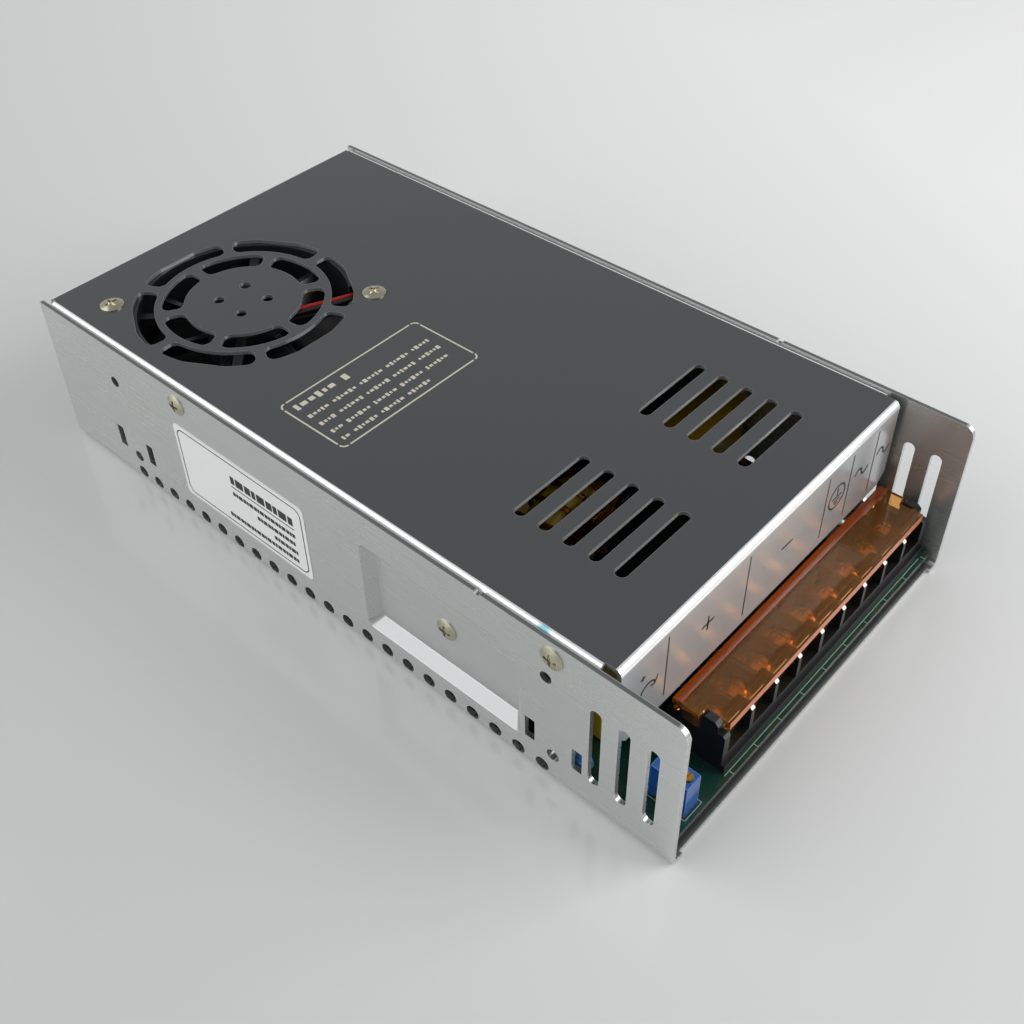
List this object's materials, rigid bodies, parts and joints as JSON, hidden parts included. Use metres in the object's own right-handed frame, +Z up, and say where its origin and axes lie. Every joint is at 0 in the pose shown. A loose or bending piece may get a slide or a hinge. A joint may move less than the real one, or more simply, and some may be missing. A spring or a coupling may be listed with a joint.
{
  "type": "enclosed switching power supply",
  "caption": "Low metal-cased switching power supply with pierced walls, a cooling fan under a ring grille, and a barrier terminal strip beneath an amber flip cover.",
  "frame": {"origin": "centre of the case outline at the underside", "axes": "+X across the case towards the wall without the sticker, +Y along the case from the terminals towards the fan end, +Z up"},
  "size_m": [0.117, 0.215, 0.0476],
  "materials": {
    "aluminium_sheet": "satin",
    "cover_metal": "satin, dark anodised look",
    "screw_steel": "satin",
    "sticker_white": "satin",
    "fan_plastic": "matte",
    "rotor_plastic": "satin",
    "copper_wire": "enamelled",
    "lead_red": "gloss",
    "lead_black": "gloss",
    "socket_plastic": "matte",
    "insulating_film": "satin",
    "board_green": "satin",
    "plated_steel": "satin",
    "block_black": "satin",
    "contact_metal": "satin",
    "terminal_steel": "satin",
    "amber_plastic": "gloss, translucent",
    "trimmer_blue": "gloss",
    "brass": "satin",
    "sleeve_black": "gloss",
    "sleeve_green": "gloss",
    "film_yellow": "gloss",
    "disc_blue": "satin",
    "ferrite": "matte",
    "tape_yellow": "satin",
    "core_yellow": "satin",
    "bar_aluminium": "satin",
    "package_black": "matte",
    "fuse_glass": "gloss",
    "thermistor_green": "matte"
  },
  "bodies": {
    "case": {"chassis": "aluminium_sheet", "cover": "cover_metal", "cover_screws": "screw_steel", "fan_screws": "screw_steel", "heatsink_screw": "screw_steel", "rating_sticker": "sticker_white", "fan_frame": "fan_plastic", "fan_stator": "copper_wire", "fan_lead_red": "lead_red", "fan_lead_black": "lead_black", "fan_socket": "socket_plastic", "insulating_sheet": "insulating_film", "circuit_board": "board_green", "board_standoffs": "plated_steel", "board_screws": "plated_steel", "terminal_block": "block_black", "terminal_plates": "contact_metal", "terminal_screws": "terminal_steel", "trimmer_body": "trimmer_blue", "bulk_capacitors": "sleeve_black", "output_capacitors": "sleeve_green", "film_capacitors": "film_yellow", "disc_capacitors": "disc_blue", "transformer_core": "ferrite", "transformer_winding": "tape_yellow", "driver_transformer": "tape_yellow", "choke_core": "core_yellow", "choke_winding": "copper_wire", "line_choke_core": "ferrite", "line_choke_coils": "copper_wire", "switch_heatsink": "bar_aluminium", "switch_transistors": "package_black", "rectifier_heatsink": "bar_aluminium", "rectifiers": "package_black", "rectifier_screws": "plated_steel", "fuse": "fuse_glass", "fuse_clips": "contact_metal", "thermistors": "thermistor_green"},
    "rotor": {"fan_rotor": "rotor_plastic"},
    "flip_cover": {"terminal_cover": "amber_plastic"},
    "adjuster": {"trimmer_screw": "brass"}
  },
  "joints": [
    {"name": "fan_spin", "type": "hinge", "parent": "case", "child": "rotor", "pos_m": [-0.0205, 0.066, 0.036], "axis": [0, 0, 1], "continuous": true},
    {"name": "flip_cover_hinge", "type": "hinge", "parent": "case", "child": "flip_cover", "pos_m": [0.0101, -0.0903, 0.0162], "axis": [-1, 0, 0], "range_deg": [0, 62]},
    {"name": "trimmer_turn", "type": "hinge", "parent": "case", "child": "adjuster", "pos_m": [-0.0461, -0.1022, 0.0132], "axis": [0, 0, 1], "continuous": true}
  ]
}
